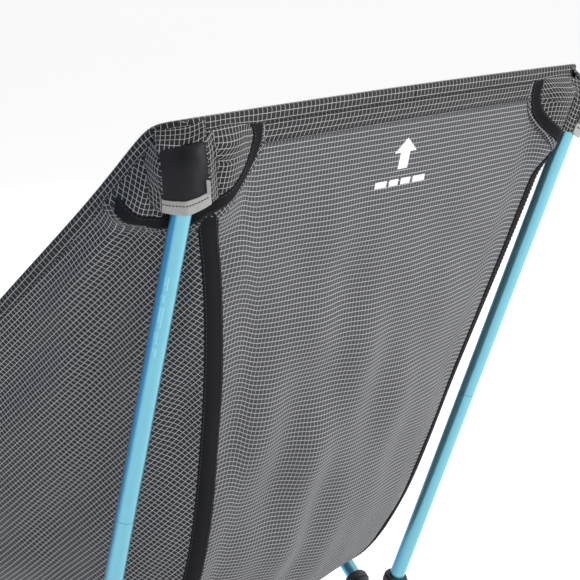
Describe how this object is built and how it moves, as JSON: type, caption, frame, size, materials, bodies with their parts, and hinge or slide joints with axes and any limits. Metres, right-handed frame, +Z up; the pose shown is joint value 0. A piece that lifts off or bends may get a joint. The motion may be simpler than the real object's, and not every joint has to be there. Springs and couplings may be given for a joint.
{
  "type": "ultralight backpacking chair",
  "caption": "Low folding camp chair: a ripstop fabric sling hung by four corner pockets on shock-corded aluminium poles that plug into two moulded hubs.",
  "frame": {"origin": "on the ground, under the middle of the chair's bounding box", "axes": "+Z up, -Y towards the front of the chair, +X towards the sitter's left"},
  "size_m": [0.5172, 0.4747, 0.6341],
  "materials": {
    "pole": "satin anodised, light blue",
    "ferrule": "bare drawn tube",
    "hub": "moulded glass-filled nylon, fine grain",
    "tip": "moulded nylon",
    "foot": "matt moulded rubber",
    "shock_cord": "braided elastic cord",
    "centre_fabric": "light charcoal ripstop with a pale grid",
    "wing_fabric": "dark charcoal ripstop with a pale grid",
    "patch_fabric": "dark ripstop, doubled",
    "pocket_fabric": "smooth black coated oxford",
    "black_tape": "woven black binding tape",
    "mouth_tape": "pale grey ribbed grosgrain"
  },
  "bodies": {
    "frame": {"hub_left": "hub", "hub_right": "hub", "cross_bar": "pole", "cross_bar_cord": "shock_cord", "front_arm_left": "pole", "back_pole_lower_left": "pole", "back_pole_upper_left": "pole", "pole_ferrule_left": "ferrule", "arm_tip_left": "tip", "back_tip_left": "tip", "arm_cord_left": "shock_cord", "back_pole_cord_left": "shock_cord", "front_arm_right": "pole", "back_pole_lower_right": "pole", "back_pole_upper_right": "pole", "pole_ferrule_right": "ferrule", "arm_tip_right": "tip", "back_tip_right": "tip", "arm_cord_right": "shock_cord", "back_pole_cord_right": "shock_cord"},
    "front_leg_left": {"front_leg_left": "pole", "front_foot_left": "foot", "front_leg_cord_left": "shock_cord"},
    "front_leg_right": {"front_leg_right": "pole", "front_foot_right": "foot", "front_leg_cord_right": "shock_cord"},
    "rear_leg_left": {"rear_leg_left": "pole", "rear_foot_left": "foot", "rear_leg_cord_left": "shock_cord"},
    "rear_leg_right": {"rear_leg_right": "pole", "rear_foot_right": "foot", "rear_leg_cord_right": "shock_cord"},
    "sling": {"centre_panel": "centre_fabric", "wing_left": "wing_fabric", "seam_tape_left": "black_tape", "back_patch_left": "patch_fabric", "front_patch_left": "patch_fabric", "back_binding_left": "black_tape", "front_binding_left": "black_tape", "back_pocket_left": "pocket_fabric", "front_pocket_left": "pocket_fabric", "back_mouth_tape_left": "mouth_tape", "front_mouth_tape_left": "mouth_tape", "wing_right": "wing_fabric", "seam_tape_right": "black_tape", "back_patch_right": "patch_fabric", "front_patch_right": "patch_fabric", "back_binding_right": "black_tape", "front_binding_right": "black_tape", "back_pocket_right": "pocket_fabric", "front_pocket_right": "pocket_fabric", "back_mouth_tape_right": "mouth_tape", "front_mouth_tape_right": "mouth_tape"}
  },
  "joints": [
    {"name": "front_leg_left_pull", "type": "slide", "parent": "frame", "child": "front_leg_left", "axis": [0.2808, -0.769, -0.5743], "range_m": [0, 0.045], "stiffness_N_per_m": 80, "springref_m": -0.15},
    {"name": "front_leg_right_pull", "type": "slide", "parent": "frame", "child": "front_leg_right", "axis": [-0.2808, -0.769, -0.5743], "range_m": [0, 0.045], "stiffness_N_per_m": 80, "springref_m": -0.15},
    {"name": "rear_leg_left_pull", "type": "slide", "parent": "frame", "child": "rear_leg_left", "axis": [0.2821, 0.7194, -0.6347], "range_m": [0, 0.045], "stiffness_N_per_m": 80, "springref_m": -0.15},
    {"name": "rear_leg_right_pull", "type": "slide", "parent": "frame", "child": "rear_leg_right", "axis": [-0.2821, 0.7194, -0.6347], "range_m": [0, 0.045], "stiffness_N_per_m": 80, "springref_m": -0.15},
    {"name": "sling_lift", "type": "slide", "parent": "frame", "child": "sling", "axis": [0, 0.3801, 0.9249], "range_m": [0, 0.16], "deforming": ["back_pocket_left", "front_pocket_left", "back_mouth_tape_left", "front_mouth_tape_left", "back_pocket_right", "front_pocket_right", "back_mouth_tape_right", "front_mouth_tape_right"]}
  ]
}
